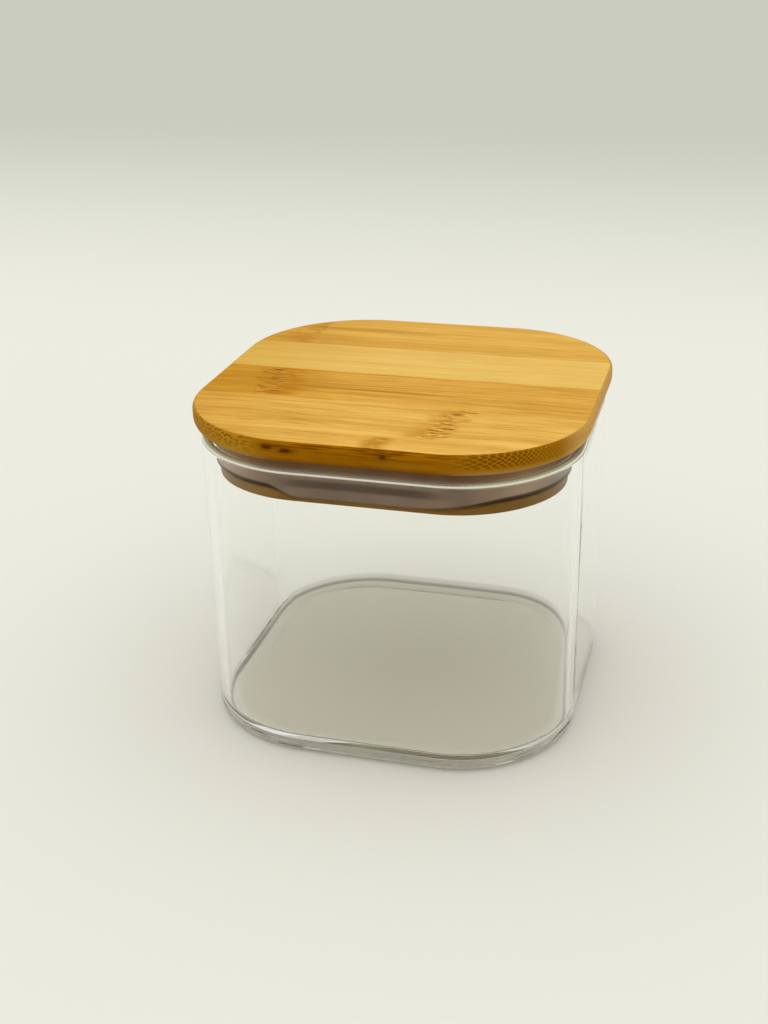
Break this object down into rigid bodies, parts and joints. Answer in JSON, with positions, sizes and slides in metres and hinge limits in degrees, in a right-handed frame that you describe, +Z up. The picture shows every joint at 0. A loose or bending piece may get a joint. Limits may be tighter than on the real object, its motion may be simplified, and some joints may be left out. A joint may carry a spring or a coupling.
{
  "type": "spice jar",
  "caption": "Square clear-glass jar with rounded corners and a flat laminated-bamboo lid whose plug carries a soft silicone seal.",
  "frame": {"origin": "centre of the jar's foot, on the surface it stands on", "axes": "+Z up and out of the jar's mouth, +X along the grain of the lid, -Y towards the front"},
  "size_m": [0.101, 0.101, 0.0868],
  "materials": {
    "clear_glass": "clear, polished",
    "bamboo_plate": "satin oiled, caramel bamboo with nodes",
    "bamboo_plug": "sanded bamboo, unpolished",
    "silicone": "translucent, soft sheen"
  },
  "bodies": {
    "jar": {"glass_jar": "clear_glass"},
    "lid": {"lid_slat_1": "bamboo_plate", "lid_slat_2": "bamboo_plate", "lid_slat_3": "bamboo_plate", "lid_slat_4": "bamboo_plate", "lid_slat_5": "bamboo_plate", "lid_slat_6": "bamboo_plate", "plug_slat_1": "bamboo_plug", "plug_slat_2": "bamboo_plug", "plug_slat_3": "bamboo_plug", "plug_slat_4": "bamboo_plug", "plug_slat_5": "bamboo_plug", "seal_ring": "silicone"}
  },
  "joints": [
    {"name": "lid_lift", "type": "slide", "parent": "jar", "child": "lid", "axis": [0, 0, 1], "range_m": [0, 0.04]}
  ]
}
